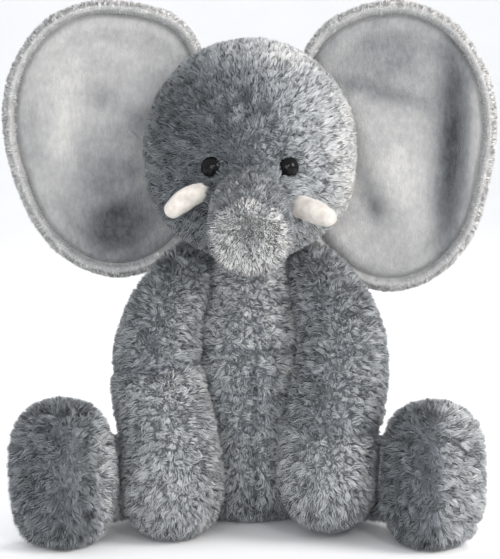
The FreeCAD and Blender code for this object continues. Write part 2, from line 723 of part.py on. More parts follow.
os.makedirs("parts", exist_ok=True)
for name, feature in nodes.items():
    shape = feature.Shape
    if shape.isNull() or not shape.isValid() or len(shape.Solids) != 1:
        raise RuntimeError(f"{name} isn't one valid solid: {len(shape.Solids)} solids")
    shape.exportStep(f"parts/{name}.step")
    print(f"{name:22} {shape.Volume / 1000:8.2f} cm3")
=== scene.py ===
"""How the stuffed elephant looks: sewn skins, and a pile of real strands that grows out of them.

Sizes below are in millimetres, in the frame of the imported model, and become metres when a mesh is made.
"""

import json
import math

import bpy
import numpy as np
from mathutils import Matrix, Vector, kdtree

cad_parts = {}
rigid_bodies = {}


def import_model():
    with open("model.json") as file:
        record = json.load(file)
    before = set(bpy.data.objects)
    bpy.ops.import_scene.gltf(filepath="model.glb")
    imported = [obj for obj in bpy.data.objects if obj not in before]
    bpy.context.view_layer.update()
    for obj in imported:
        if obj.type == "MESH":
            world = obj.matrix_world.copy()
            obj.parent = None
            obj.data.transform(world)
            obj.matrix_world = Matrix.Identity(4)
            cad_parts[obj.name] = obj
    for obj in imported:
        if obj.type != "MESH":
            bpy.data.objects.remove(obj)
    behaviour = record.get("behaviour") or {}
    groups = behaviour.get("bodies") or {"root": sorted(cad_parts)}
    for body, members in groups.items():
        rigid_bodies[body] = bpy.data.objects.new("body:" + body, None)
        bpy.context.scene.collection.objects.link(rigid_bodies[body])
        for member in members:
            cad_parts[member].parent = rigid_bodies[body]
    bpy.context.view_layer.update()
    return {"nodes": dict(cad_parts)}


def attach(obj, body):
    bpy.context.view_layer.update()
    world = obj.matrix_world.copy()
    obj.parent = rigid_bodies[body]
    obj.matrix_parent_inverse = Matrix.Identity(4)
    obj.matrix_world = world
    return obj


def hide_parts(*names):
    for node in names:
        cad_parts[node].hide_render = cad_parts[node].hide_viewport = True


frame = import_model()

MM = 0.001
SIDES = {"left": 1, "right": -1}
UP = np.array([0.0, 0.0, 1.0])
CLOTH_FRAMES = 20

# ---- Fields: shapes as distances from their surfaces, negative inside -----------------------------------


def unit(vectors):
    return vectors / np.maximum(np.linalg.norm(vectors, axis=-1, keepdims=True), 1e-9)


def egg(p, middle, radii):
    """About the distance from an ellipsoid."""
    q = p - np.array(middle, float)
    near = np.linalg.norm(q / np.array(radii, float), axis=-1)
    steep = np.linalg.norm(q / np.array(radii, float) ** 2, axis=-1)
    return near * (near - 1) / np.maximum(steep, 1e-6)


def worm(p, balls):
    """The envelope of balls (x, y, z, radius)."""
    nearest = np.full(p.shape[:-1], 1e6)
    for x, y, z, radius in balls:
        nearest = np.minimum(nearest, np.linalg.norm(p - (x, y, z), axis=-1) - radius)
    return nearest


def brick(p, middle, half, yaw, power):
    """About the distance from a box whose sides are crowned: the power says how square it is."""
    q = p - np.array(middle, float)
    sin, cos = math.sin(yaw), math.cos(yaw)
    q = np.stack([q[..., 0] * cos + q[..., 1] * sin, q[..., 1] * cos - q[..., 0] * sin, q[..., 2]], -1)
    share = (np.abs(q / np.array(half, float)) ** power).sum(-1) ** (1 / power)
    return (share - 1) * np.linalg.norm(q, axis=-1) / np.maximum(share, 1e-3)


def join(a, b, soft):
    """Both shapes, with the crease between them filled."""
    share = np.clip(0.5 + 0.5 * (b - a) / soft, 0, 1)
    return b + (a - b) * share - soft * share * (1 - share)


def meet(a, b, soft):
    """What the shapes have in common, with a rounded edge."""
    return -join(-a, -b, soft)


def bump(p, spot, wide):
    """1 at a spot, falling to 0 round it."""
    return np.exp(-(((p - np.array(spot, float)) / np.array(wide, float)) ** 2).sum(-1))


def ripple(p, size, seed):
    """Smooth lumps of about that size, from -1 to 1."""
    rng = np.random.default_rng(seed)
    total = 0
    for wave in unit(rng.normal(size=(9, 3))) * rng.uniform(0.6, 1.5, (9, 1)) * (math.pi / size):
        total = total + np.sin(p @ wave + rng.uniform(0, 2 * math.pi))
    return total / 4.5


def spline(points, count):
    """A Catmull-Rom curve through rows of numbers."""
    rows = np.array(points, float)
    rows = np.vstack([2 * rows[0] - rows[1], rows, 2 * rows[-1] - rows[-2]])
    spans = np.linspace(0, len(rows) - 3, count)
    first = np.minimum(spans.astype(int), len(rows) - 4)
    t = (spans - first)[:, None]
    a, b, c, d = (rows[first + step] for step in range(4))
    return 0.5 * (2 * b + (c - a) * t + (2 * a - 5 * b + 4 * c - d) * t**2 + (3 * b - a - 3 * c + d) * t**3)


# ---- Meshes --------------------------------------------------------------------------------------------


def surface(field, low, high, step):
    """The closed mesh where a field is zero, by surface nets: (vertices, quads)."""
    low, high = np.array(low, float), np.array(high, float)
    count = np.ceil((high - low) / step).astype(int) + 1
    lines = [low[i] + step * np.arange(count[i]) for i in range(3)]
    grid = np.stack(np.meshgrid(*lines, indexing="ij"), -1)
    value = field(grid)
    total, number = np.zeros((*(count - 1), 3)), np.zeros(count - 1)
    crossings = []
    for axis in range(3):
        near = np.take(value, range(count[axis] - 1), axis)
        far = np.take(value, range(1, count[axis]), axis)
        cross = (near < 0) != (far < 0)
        points = np.take(grid, range(count[axis] - 1), axis)
        points[..., axis] += near / np.where(cross, near - far, 1) * step
        others = [other for other in range(3) if other != axis]
        for shifts in ((0, 0), (0, 1), (1, 0), (1, 1)):
            part = [slice(None)] * 3
            for other, shift in zip(others, shifts):
                part[other] = slice(shift, count[other] - 1 + shift)
            part = tuple(part)
            total += np.where(cross[part][..., None], points[part], 0)
            number += cross[part]
        crossings.append((axis, others, cross, near < 0))
    used = number > 0
    index = np.full(count - 1, -1)
    index[used] = np.arange(used.sum())
    vertices = total[used] / number[used][:, None]
    quads = []
    for axis, others, cross, inside in crossings:
        core = [slice(None)] * 3
        for other in others:
            core[other] = slice(1, count[other] - 1)
        spots = np.argwhere(cross[tuple(core)])
        for other in others:
            spots[:, other] += 1
        corners = []
        for steps in ((0, 0), (1, 0), (1, 1), (0, 1)):
            cell = spots.copy()
            cell[:, others] -= steps
            corners.append(index[tuple(cell.T)])
        corners = np.stack(corners, 1)
        flip = inside[tuple(spots.T)] ^ (axis != 1)
        corners[flip] = corners[flip][:, ::-1]
        quads.append(corners)
    for _ in range(2):
        slope = np.stack([field(vertices + e) - field(vertices - e) for e in np.eye(3) * 0.2], -1) / 0.4
        move = field(vertices)[:, None] * slope / np.maximum((slope**2).sum(-1, keepdims=True), 0.2)
        vertices = vertices - np.clip(move, -step, step)
    return vertices, np.vstack(quads)


def normals_of(vertices, triangles):
    a, b, c = (vertices[triangles[:, i]] for i in range(3))
    across = np.cross(b - a, c - a)
    total = np.zeros_like(vertices)
    for i in range(3):
        for axis in range(3):
            total[:, axis] += np.bincount(triangles[:, i], across[:, axis], len(vertices))
    return unit(total), np.linalg.norm(across, axis=1) / 2


def triangles_of(faces):
    return np.vstack([faces[:, :3], faces[:, [0, 2, 3]]]) if faces.shape[1] == 4 else faces


def make(name, vertices, faces, material):
    """A mesh object, smooth, from numpy arrays in millimetres."""
    mesh = bpy.data.meshes.new(name)
    size = faces.shape[1]
    mesh.vertices.add(len(vertices))
    mesh.vertices.foreach_set("co", (vertices * MM).astype(np.float32).ravel())
    mesh.loops.add(faces.size)
    mesh.loops.foreach_set("vertex_index", faces.astype(np.int32).ravel())
    mesh.polygons.add(len(faces))
    mesh.polygons.foreach_set("loop_start", np.arange(len(faces), dtype=np.int32) * size)
    mesh.update(calc_edges=True)
    mesh.shade_smooth()
    mesh.materials.append(material)
    piece = bpy.data.objects.new(name, mesh)
    bpy.context.scene.collection.objects.link(piece)
    return piece


def polar(rings):
    """A closed mesh from rings of points that start and end at single points: (vertices, triangles)."""
    first, last = rings[0].mean(0), rings[-1].mean(0)
    middle = rings[1:-1]
    rows, columns = len(middle), len(middle[0])
    vertices = np.vstack([first[None], *middle, last[None]])
    index = 1 + np.arange(rows * columns).reshape(rows, columns)
    turned = np.roll(index, -1, 1)
    quads = np.stack([index[:-1], index[1:], turned[1:], turned[:-1]], -1).reshape(-1, 4)
    start = np.stack([np.zeros(columns, int), index[0], turned[0]], -1)
    end = np.stack([np.full(columns, rows * columns + 1), turned[-1], index[-1]], -1)
    return vertices, np.vstack([triangles_of(quads), start, end])


def plump(vertices, faces, cap, name):
    """Cloth under pressure: a skin that its stuffing fills, where no point moves further than the cap."""
    trial = make(f"{name}_trial", vertices, faces, bpy.data.materials[0])
    cloth = trial.modifiers.new("stuffed", "CLOTH")
    cloth.settings.use_pressure = True
    cloth.settings.uniform_pressure_force = 4
    cloth.settings.effector_weights.gravity = 0
    cloth.settings.quality = 4
    cloth.point_cache.frame_start, cloth.point_cache.frame_end = 1, CLOTH_FRAMES
    scene = bpy.context.scene
    for number in range(1, CLOTH_FRAMES + 1):
        scene.frame_set(number)
    shaped = trial.evaluated_get(bpy.context.evaluated_depsgraph_get()).to_mesh()
    after = np.empty(len(vertices) * 3, np.float32)
    shaped.vertices.foreach_get("co", after)
    move = after.reshape(-1, 3) / MM - vertices
    far = np.linalg.norm(move, axis=1, keepdims=True)
    bpy.data.objects.remove(trial)
    scene.frame_set(1)
    return vertices + move * np.minimum(1, cap / np.maximum(far, 1e-6))


# ---- Materials -----------------------------------------------------------------------------------------


def material(name, **sockets):
    """A new material with constants on its shader: (material, its node tree, its Principled shader)."""
    made = bpy.data.materials.new(name)
    made.use_nodes = True
    shader = made.node_tree.nodes["Principled BSDF"]
    for socket, value in sockets.items():
        shader.inputs[socket.replace("_", " ")].default_value = value
    return made, made.node_tree, shader


def node(tree, kind, inputs=(), **settings):
    made = tree.nodes.new(kind)
    for name, value in settings.items():
        setattr(made, name, value)
    for socket, value in dict(inputs).items():
        if isinstance(value, bpy.types.NodeSocket):
            tree.links.new(value, made.inputs[socket])
        else:
            made.inputs[socket].default_value = value
    return made


def ramp(tree, source, stops):
    made = node(tree, "ShaderNodeValToRGB", {"Fac": source})
    elements = made.color_ramp.elements
    while len(elements) < len(stops):
        elements.new(0.5)
    for element, (at, colour) in zip(elements, stops):
        element.position = at
        element.color = (*colour, 1)
    return made.outputs["Color"]


def noise(tree, scale, detail=3.0, rough=0.55, stretch=(1, 1, 1)):
    """Noise in object coordinates: the scale is waves per metre."""
    where = node(tree, "ShaderNodeTexCoord").outputs["Object"]
    turned = node(tree, "ShaderNodeMapping", {"Vector": where, "Scale": stretch}).outputs["Vector"]
    inputs = {"Vector": turned, "Scale": scale, "Detail": detail, "Roughness": rough}
    return node(tree, "ShaderNodeTexNoise", inputs).outputs["Fac"]


def pile_material(name, stops, root, half):
    """Strands: in the mesh's own map u gives their shade, and they are darker towards the root, v 0, as
    painted shade deep in the pile.
    """
    made, tree, shader = material(
        name, Roughness=0.8, Sheen_Weight=0.35, Sheen_Roughness=0.5, Specular_IOR_Level=0.2
    )
    place = node(tree, "ShaderNodeUVMap", uv_map="OFBake").outputs["UV"]
    parts = node(tree, "ShaderNodeSeparateXYZ", {"Vector": place}).outputs
    shade = ramp(tree, parts["X"], stops)
    depth = ramp(tree, parts["Y"], [(0, (root,) * 3), (0.55, (half,) * 3), (0.95, (1, 1, 1))])
    # A Mix node has its colours at inputs 6 and 7 and at output 2, and its factor at input 0.
    mixed = node(tree, "ShaderNodeMix", {0: 1, 6: shade, 7: depth}, data_type="RGBA", blend_type="MULTIPLY")
    tree.links.new(mixed.outputs[2], shader.inputs["Base Color"])
    return made


def cloth_material(name, stops, spots, nap, depth, **sockets):
    """A pile fabric's backing or a short nap: mottled colour, and a bump of fine fibres."""
    made, tree, shader = material(name, **sockets)
    tree.links.new(ramp(tree, noise(tree, spots, 4), stops), shader.inputs["Base Color"])
    fibres = noise(tree, nap, 4, 0.65)
    raised = node(tree, "ShaderNodeBump", {"Height": fibres, "Strength": 0.6, "Distance": depth})
    tree.links.new(raised.outputs["Normal"], shader.inputs["Normal"])
    return made


GREY = pile_material(
    "grey_pile",
    [
        (0, (0.09, 0.10, 0.11)), (0.25, (0.24, 0.26, 0.28)),
        (0.5, (0.49, 0.515, 0.54)), (0.9, (0.92, 0.91, 0.89)),
    ],
    0.6, 0.88,
)
EAR_PILE = pile_material(
    "ear_pile", [(0, (0.42, 0.42, 0.42)), (0.5, (0.80, 0.785, 0.765)), (1, (0.97, 0.95, 0.93))], 0.7, 0.92
)
# The backings are coloured much darker than their pile: their own grey, with painted shade for the depth
# between the strands.
EAR_BACKING = cloth_material(
    "ear_backing", [(0.3, (0.34, 0.34, 0.34)), (0.7, (0.44, 0.435, 0.43))], 150, 2500, 0.0004, Roughness=0.95
)
BACKING = cloth_material(
    "plush_backing", [(0.3, (0.10, 0.11, 0.12)), (0.7, (0.17, 0.18, 0.19))], 150, 2500, 0.0004, Roughness=0.95
)


def velour_material():
    """Short pile whose colour follows the mesh's own nap value, which holds painted light and shade."""
    made, tree, shader = material("ear_velour", Roughness=0.8, Sheen_Weight=0.4, Sheen_Roughness=0.4)
    painted_ear_shading = node(tree, "ShaderNodeAttribute", attribute_name="nap").outputs["Fac"]
    strong = {0: noise(tree, 420, 5, 0.7, (1, 1, 0.5)), 1: 0.36}
    fine = node(tree, "ShaderNodeMath", strong, operation="MULTIPLY")
    broad = node(tree, "ShaderNodeMath", {0: noise(tree, 80, 3), 1: 0.26}, operation="MULTIPLY")
    both = node(tree, "ShaderNodeMath", {0: fine.outputs[0], 1: broad.outputs[0]}, operation="ADD")
    total = node(tree, "ShaderNodeMath", {0: both.outputs[0], 1: painted_ear_shading}, operation="ADD").outputs[0]
    stops = [
        (0.26, (0.03, 0.032, 0.035)), (0.56, (0.17, 0.175, 0.18)),
        (0.86, (0.37, 0.365, 0.36)), (1.0, (0.50, 0.49, 0.475)),
    ]
    tree.links.new(ramp(tree, total, stops), shader.inputs["Base Color"])
    fibres = noise(tree, 1100, 4, 0.7, (1, 1, 0.45))
    raised = node(tree, "ShaderNodeBump", {"Height": fibres, "Strength": 0.7, "Distance": 0.0011})
    tree.links.new(raised.outputs["Normal"], shader.inputs["Normal"])
    return made


VELOUR = velour_material()
FELT = cloth_material(
    "tusk_felt", [(0.3, (0.44, 0.40, 0.36)), (0.65, (0.64, 0.595, 0.545))], 160, 2600, 0.0004,
    Roughness=0.92, Sheen_Weight=0.3,
)
EYE = cloth_material(
    "eye_black", [(0.3, (0.002, 0.002, 0.002)), (0.7, (0.004, 0.004, 0.004))], 300, 900, 0.000002,
    Roughness=0.04, Specular_IOR_Level=0.16,
)
WASHER = cloth_material(
    "washer_white", [(0.3, (0.62, 0.62, 0.60)), (0.7, (0.70, 0.70, 0.68))], 200, 1500, 0.00005, Roughness=0.45
)
THREAD = cloth_material(
    "neck_thread", [(0.3, (0.16, 0.17, 0.18)), (0.7, (0.26, 0.27, 0.28))], 400, 3000, 0.0003, Roughness=0.8
)

# ---- Pile ----------------------------------------------------------------------------------------------


STRANDS_A_PIECE = 90000  # the most strands in one piece; an exported piece keeps every face up to 200,000
TIP_FLOOR = 0.4  # no strand comes nearer to the floor


def at(value, roots):
    """A value that may be a function of the roots, as a column."""
    return (value(roots) if callable(value) else np.full(len(roots), float(value)))[:, None]


def pile(name, body, skin, seed, density, length, comb, colours=GREY, grow=None, tone=None, stand=0.7,
         mess=0.35, clump=2.8, gather=0.25, width=0.25, clear=()):
    """Strands that grow out of a skin (vertices, triangles).

    density is strands per square millimetre, comb gives the way the strands lie, clump is the distance
    between tufts, grow a share per vertex, tone how much paler the strands are at a root, and clear the
    fields that no tip goes into. Numbers or functions of the roots: length, stand for how far strands stand
    up, mess for how far they stray from the comb, and gather for how far a tuft's tips come together.
    """
    vertices, triangles = skin
    rng = np.random.default_rng(seed)
    normals, areas = normals_of(vertices, triangles)
    if grow is not None:
        areas = areas * grow[triangles].mean(1)
    count = int(areas.sum() * density)
    chosen = rng.choice(len(triangles), count, p=areas / areas.sum())
    a, b = rng.random(count), rng.random(count)
    a, b = np.where(a + b > 1, 1 - a, a), np.where(a + b > 1, 1 - b, b)
    shares = np.stack([1 - a - b, a, b], 1)[:, :, None]
    roots = (vertices[triangles[chosen]] * shares).sum(1)
    out = unit((normals[triangles[chosen]] * shares).sum(1))
    centres = rng.choice(count, max(int(areas.sum() / clump**2), 1), replace=False)
    tree = kdtree.KDTree(len(centres))
    for number, centre in enumerate(centres):
        tree.insert(roots[centre], number)
    tree.balance()
    tuft = np.array([tree.find(root)[1] for root in roots])

    reach, up, stray = at(length, roots), at(stand, roots), at(mess, roots)

    def tips(chosen, strays, reach):
        lie = unit(comb(roots[chosen], out[chosen]))
        lie = lie - out[chosen] * (lie * out[chosen]).sum(1, keepdims=True)
        side = strays - out[chosen] * (strays * out[chosen]).sum(1, keepdims=True)
        start = unit(out[chosen] + (lie * 0.45 + side * 0.5) * (1 - up[chosen]) + side * 0.25)
        end = unit(out[chosen] * up[chosen] + lie * (1 - up[chosen]) * 1.4 + side * 0.8)
        middle = roots[chosen] + start * reach * 0.5
        return middle, middle + end * reach * 0.5

    tuft_stray = rng.normal(0, 1, (len(centres), 3)) * stray[centres]
    tuft_reach = rng.uniform(0.9, 1.06, (len(centres), 1))
    tuft_shade = rng.normal(0, 0.045, len(centres))
    own = rng.normal(0, 0.5, (count, 3)) * stray
    reach = reach * rng.uniform(0.86, 1.04, (count, 1)) * tuft_reach[tuft]
    middles, ends = tips(np.arange(count), tuft_stray[tuft] + own, reach)
    _, tuft_ends = tips(centres, tuft_stray, reach[centres])
    pull = at(gather, roots) * rng.uniform(0.5, 1.2, (count, 1))
    ends += (tuft_ends[tuft] - ends) * pull
    middles += ((roots[centres] * 0.5 + tuft_ends * 0.5)[tuft] - middles) * pull * 0.35
    for points in (middles, ends):
        points[:, 2] = np.maximum(points[:, 2], TIP_FLOOR)
    shade = 0.5 + tuft_shade[tuft] + rng.normal(0, 0.07, count)
    shade = shade + 0.05 * ripple(roots, 17, seed) + 0.03 * ripple(roots, 7, seed + 1)
    if tone is not None:
        shade += tone(roots)
    kept = np.ones(count, bool)
    for field in clear:
        kept &= field(ends) > -0.5
    roots, middles, ends, out, shade = (x[kept] for x in (roots, middles, ends, out, shade))
    count = len(roots)
    across = unit(np.cross(ends - roots, out + rng.normal(0, 0.6, (count, 3)))) * width / 2
    points = np.stack([roots, middles - across, middles + across, ends], 1)
    faces = np.array([[0, 2, 1], [1, 2, 3]])
    along = np.array([0.02, 0.55, 0.55, 0.98])[faces].ravel()
    height = np.argsort(np.argsort(roots[:, 2]))
    share = count // (STRANDS_A_PIECE + 1) + 1
    for number in range(share):
        mine = np.flatnonzero(height * share // count == number)
        corners = (np.arange(len(mine))[:, None, None] * 4 + faces).reshape(-1, 3)
        label = name if share == 1 else f"{name}_{number + 1}"
        piece = make(label, points[mine].reshape(-1, 3), corners, colours)
        piece.data.normals_split_custom_set_from_vertices(np.repeat(out[mine], 4, 0))
        uv = np.empty((len(mine), 6, 2), np.float32)
        uv[..., 0] = np.clip(shade[mine], 0.02, 0.98)[:, None]
        uv[..., 1] = along
        piece.data.uv_layers.new(name="OFBake").data.foreach_set("uv", uv.ravel())
        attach(piece, body)


def skin_piece(name, body, vertices, faces, fill, stands_for, slot="grey_plush", look=BACKING):
    """A sewn skin with its stuffing: fill is not used."""
    piece = make(name, vertices, faces, look)
    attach(piece, body)
    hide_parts(*stands_for)
    return piece


# ---- Torso ---------------------------------------------------------------------------------------------

FLOOR = 0.6  # the skins rest this far above the floor, on their flattened pile
SEAM_DEPTH = 2.8
CHEST_SEAM = 102.0


def floor_cut(p, shape, soft):
    return meet(shape, FLOOR - p[..., 2], soft)


TORSO_BALLS = spline([
    (0, 25.5, 37, 46.5), (0, 25, 52, 45.8), (0, 23, 77, 41.5),
    (0, 21.5, 102, 34.8), (0, 20.5, 122, 28), (0, 19.5, 137, 24),
], 26)


def torso_field(p):
    return floor_cut(p, worm(p, TORSO_BALLS) + 0.5 * ripple(p, 24, 3), 9)


def torso_seams(p):
    """1 in the seams down the front and across the chest."""
    front = np.exp(-((p[..., 0] - 2.5) / 2.2) ** 2) * (p[..., 1] < 20) * (p[..., 2] > 8)
    level = np.exp(-((p[..., 2] - CHEST_SEAM + 0.0016 * p[..., 0] ** 2) / 2.2) ** 2) * (p[..., 1] < 30)
    return np.maximum(front, level)


# ---- Head ----------------------------------------------------------------------------------------------

EYES = {side: np.array([sign * 21.2, -36.9, 208.5]) for side, sign in SIDES.items()}
EYE_BARE = 6.4
NECK, NECK_RADIUS, NECK_BARE = np.array([0, 19.5, 138]), 27.0, 28.5  # a ball that the head is cut back from


def head_shape(p):
    """The head without its dents."""
    skull = egg(p, (0, 11.5, 215), (58.5, 53.5, 61.5))
    cheeks = egg(p, (0, 3, 196), (54, 44, 34))
    muzzle = egg(p, (0, -27, 190), (28.5, 25, 22))
    return join(join(skull, cheeks, 8), muzzle, 9)


def head_field(p):
    shape = head_shape(p) + 0.35 * ripple(p, 22, 5)
    for spot in EYES.values():
        shape = shape + 2.2 * bump(p, spot, (9, 12, 8))
    shape = shape + 1.6 * bump(p, (-5, -36, 258), (5, 16, 5))
    return meet(shape, NECK_RADIUS - np.linalg.norm(p - NECK, axis=-1), 3)


# ---- Trunk, tusks and eyes -----------------------------------------------------------------------------

TRUNK_ROOT, TRUNK_DROOP, TRUNK_REACH = np.array([0, -35.5, 188.0]), math.radians(15.5), 54.0
TRUNK_AXIS = np.array([0, -math.cos(TRUNK_DROOP), -math.sin(TRUNK_DROOP)])
TRUNK_TIP = TRUNK_ROOT + TRUNK_AXIS * TRUNK_REACH
TRUNK_BALLS = [
    (*(TRUNK_ROOT + TRUNK_AXIS * far), radius)
    for far, radius in spline([(-2, 20.4), (10, 20.2), (24, 19.8), (38, 20.4), (50, 21.4)], 18)
]


def trunk_field(p):
    end = (p - TRUNK_TIP) @ TRUNK_AXIS
    return meet(worm(p, TRUNK_BALLS) + 0.3 * ripple(p, 15, 8), end + 1.0, 6)


# ---- Arms ----------------------------------------------------------------------------------------------

ARM_BALLS = [  # outside and in front of the shoulder, height, radius
    (0, 0, 142, 15.5), (6, 7, 134, 17), (13, 16, 120, 19.5), (17, 26, 102, 22), (16, 35, 84, 23.2),
    (12, 44, 64, 24.3), (9, 51, 46, 25.2), (8, 54, 34, 25.4), (8, 55, 26, 24.6),
]
ARM_LIFT = {"left": 8.0, "right": 0.0}
LEG_YAW = {"left": math.radians(37), "right": math.radians(38)}
FOOT_YAW = {"left": math.radians(45), "right": math.radians(33)}
HIP = np.array([46.5, 16.5, 26.5])
FOOT_AHEAD, FOOT_ASIDE = 90, {"left": 0.5, "right": 1.8}
FOOT_MIDDLE_Z, FOOT_HALF = 39.5, (24.4, 22.5, 38.6)
CUFF_Z = {"left": 68, "right": 100}
SHOULDER = (36, 15.5, 143)
PAW_FLAT, THIGH_FLAT = 13.6, 12.6  # where paw and thigh are pressed flat, from the thigh's middle


def arm_balls(side):
    sign, lift = SIDES[side], ARM_LIFT[side]
    rows = [
        (sign * (SHOULDER[0] + out), SHOULDER[1] - ahead, z + lift * (1 - z / SHOULDER[2]), radius)
        for out, ahead, z, radius in ARM_BALLS
    ]
    return spline(rows, 40)


def cuff_seam(p, side):
    """The height of the seam above the paw, which drops toward the outside."""
    return CUFF_Z[side] - 0.1 * np.abs(p[:, 0])


def beside_thigh(p, side):
    """How far a point is from the upright plane through the thigh's middle, positive on the paw's side."""
    sign, yaw = SIDES[side], LEG_YAW[side]
    across = (p[..., 0] * sign - HIP[0]) * math.cos(yaw) + (p[..., 1] - HIP[1]) * math.sin(yaw)
    return -across


def arm_field(side):
    balls = arm_balls(side)

    def field(p):
        shape = worm(p, balls) + 0.6 * ripple(p, 26, 11 + SIDES[side])
        pressed = meet(shape, PAW_FLAT - beside_thigh(p, side), 5)
        near_thigh = 1 / (1 + np.exp((p[..., 2] - 54) / 3))
        return floor_cut(p, shape + (pressed - shape) * near_thigh, 6)

    return field


# ---- Legs ----------------------------------------------------------------------------------------------


def leg_field(side):
    sign, yaw = SIDES[side], LEG_YAW[side]
    hip = HIP * (sign, 1, 1)
    ahead = np.array([sign * math.sin(yaw), -math.cos(yaw), 0])
    thigh = spline(
        [(*(hip + ahead * far + UP * rise), radius) for far, rise, radius in
         [(0, 0, 19.8), (27, 1, 20.3), (50, 4, 21), (72, 9, 21.5)]], 20
    )
    ankle = hip + ahead * FOOT_AHEAD + np.array([sign * FOOT_ASIDE[side], 0, 0])

    def field(p):
        tube = meet(worm(p, thigh), beside_thigh(p, side) - THIGH_FLAT, 5)
        foot = brick(p, (ankle[0], ankle[1], FOOT_MIDDLE_Z), FOOT_HALF, sign * FOOT_YAW[side], 2.9)
        both = join(tube, foot, 7) + 0.5 * ripple(p, 20, 21 + sign)
        return floor_cut(p, both, 6)

    return field


# ---- The sewn pieces under the pile --------------------------------------------------------------------


def skinned(field, low, high, step, cap, name):
    """A skin whose stuffing fills it: meshed 1 mm small, and swollen by cloth under pressure."""
    vertices, quads = surface(lambda p: field(p) + 1.0, low, high, step)
    triangles = triangles_of(quads)
    moved = plump(vertices, quads, cap, name)
    moved[:, 2] = np.maximum(moved[:, 2], FLOOR)
    return moved, triangles


def around(balls, margin=8):
    rows = np.array(balls)
    return (rows[:, :3] - rows[:, 3:]).min(0) - margin, (rows[:, :3] + rows[:, 3:]).max(0) + margin


torso = skinned(torso_field, (-55, -30, -6), (55, 80, 170), 4.0, 1.6, "torso")
head = skinned(head_field, (-68, -62, 140), (68, 75, 284), 4.0, 1.6, "head")
trunk = skinned(trunk_field, *around(TRUNK_BALLS), 3.0, 1.2, "trunk")
arms, legs = {}, {}
for side, sign in SIDES.items():
    arms[side] = skinned(arm_field(side), *around(arm_balls(side)), 4.0, 1.6, f"arm_{side}")
    low, high = ((30, -105, -6), (140, 45, 90)) if sign > 0 else ((-140, -105, -6), (-30, 45, 90))
    legs[side] = skinned(leg_field(side), low, high, 4.0, 1.6, f"leg_{side}")

for side, (vertices, triangles) in arms.items():
    drawn = np.exp(-(((vertices[:, 2] - cuff_seam(vertices, side)) / 3.0) ** 2))[:, None] * SEAM_DEPTH
    arms[side] = (vertices - drawn * normals_of(vertices, triangles)[0], triangles)
pull = torso_seams(torso[0])[:, None] * normals_of(*torso)[0] * SEAM_DEPTH
torso = (torso[0] - pull, torso[1])
skin_piece("torso_plush", "torso", *torso, 0.85, ["torso_skin", "torso_stuffing", "seat_pellet_bag"])
skin_piece("head_plush", "head", *head, 0.95, ["head_skin", "head_stuffing"])
skin_piece("trunk_plush", "trunk", *trunk, 0.85, ["trunk_skin", "trunk_stuffing"])
for side in SIDES:
    skin_piece(
        f"arm_plush_{side}", f"arm_{side}", *arms[side], 0.7,
        [f"arm_skin_{side}", f"paw_skin_{side}", f"arm_stuffing_{side}"],
    )
    skin_piece(
        f"leg_plush_{side}", f"leg_{side}", *legs[side], 0.85,
        [f"{part}_{layer}_{side}" for part in ("leg", "foot") for layer in ("skin", "stuffing")],
    )

# ---- Ears ----------------------------------------------------------------------------------------------

EAR_YAW = math.radians(8)
EAR_WIDE = 59
EAR_MIDDLE_Z = {"left": 218.0, "right": 220.5}
EAR_HIGH = {"left": 80.5, "right": 77.5}
EAR_COLUMNS = 220


def ear_place(side, u, w, depth):
    """Points from an ear's own axes: u outward from its middle, w up, depth backward."""
    sign = SIDES[side]
    outward = np.array([sign * math.cos(EAR_YAW), -math.sin(EAR_YAW), 0])
    backward = np.array([sign * math.sin(EAR_YAW), math.cos(EAR_YAW), 0])
    middle = np.array([sign * 50, 25.5, EAR_MIDDLE_Z[side]]) + outward * 32
    return middle + u[..., None] * outward + w[..., None] * UP + depth[..., None] * backward


def ear_outline(side):
    """For each direction from the ear's middle: (angle, distance to the edge, share free of the head)."""
    angle = np.linspace(0, 2 * math.pi, EAR_COLUMNS, endpoint=False)
    cos, sin = np.cos(angle), np.sin(angle)
    lean = {"left": 0.05, "right": 0.07}[side]
    edge = 1 / np.sqrt((cos / EAR_WIDE) ** 2 + (sin / EAR_HIGH[side]) ** 2)
    edge = edge * (1 + lean * np.sin(2 * angle)) - 0.4
    inner_top, low_outer, lowest = {"left": (0.13, 0.07, 0.05), "right": (0.22, 0.02, 0.01)}[side]
    for turn, share in ((128, inner_top), (310, low_outer), (278, lowest)):
        edge = edge * (1 + share * np.exp(-(((angle - math.radians(turn)) / math.radians(24)) ** 2)))
    reach = edge.copy()
    for step in np.arange(10, 100, 0.5):
        spots = ear_place(side, cos * step, sin * step, np.zeros_like(cos))
        inside = (head_shape(spots) < -3.5) & (step < reach)
        reach = np.where(inside, step, reach)
    kernel = np.hanning(9) / np.hanning(9).sum()
    wrapped = np.concatenate([reach[-4:], reach, reach[:4]])
    reach = np.convolve(wrapped, kernel, "valid")
    free = (edge > reach + 2.5) * 1.0
    wide = np.hanning(15) / np.hanning(15).sum()
    free = 1 - np.convolve(np.concatenate([free[-7:], free, free[:7]]), wide, "valid")
    return angle, reach, free


def valley(u, w, a, b, wide, deep):
    """A soft groove, or a ridge where deep is negative, along a segment."""
    a, b = np.array(a, float), np.array(b, float)
    along = b - a
    share = np.clip(((u - a[0]) * along[0] + (w - a[1]) * along[1]) / (along @ along), 0, 1)
    gap = np.hypot(u - a[0] - share * along[0], w - a[1] - share * along[1])
    return deep * np.exp(-((gap / wide) ** 2)) * np.sin(math.pi * np.clip(share, 0.08, 0.92)) ** 0.5


def ear_cup(side, u, w):
    """How far the whole ear bends back, or forward where it is negative."""
    bend, high = {"left": (9, 82), "right": (7, 78)}[side]
    return 2.5 - bend * (np.maximum(u, 0) / EAR_WIDE) ** 2 - 3 * (w / high) ** 2


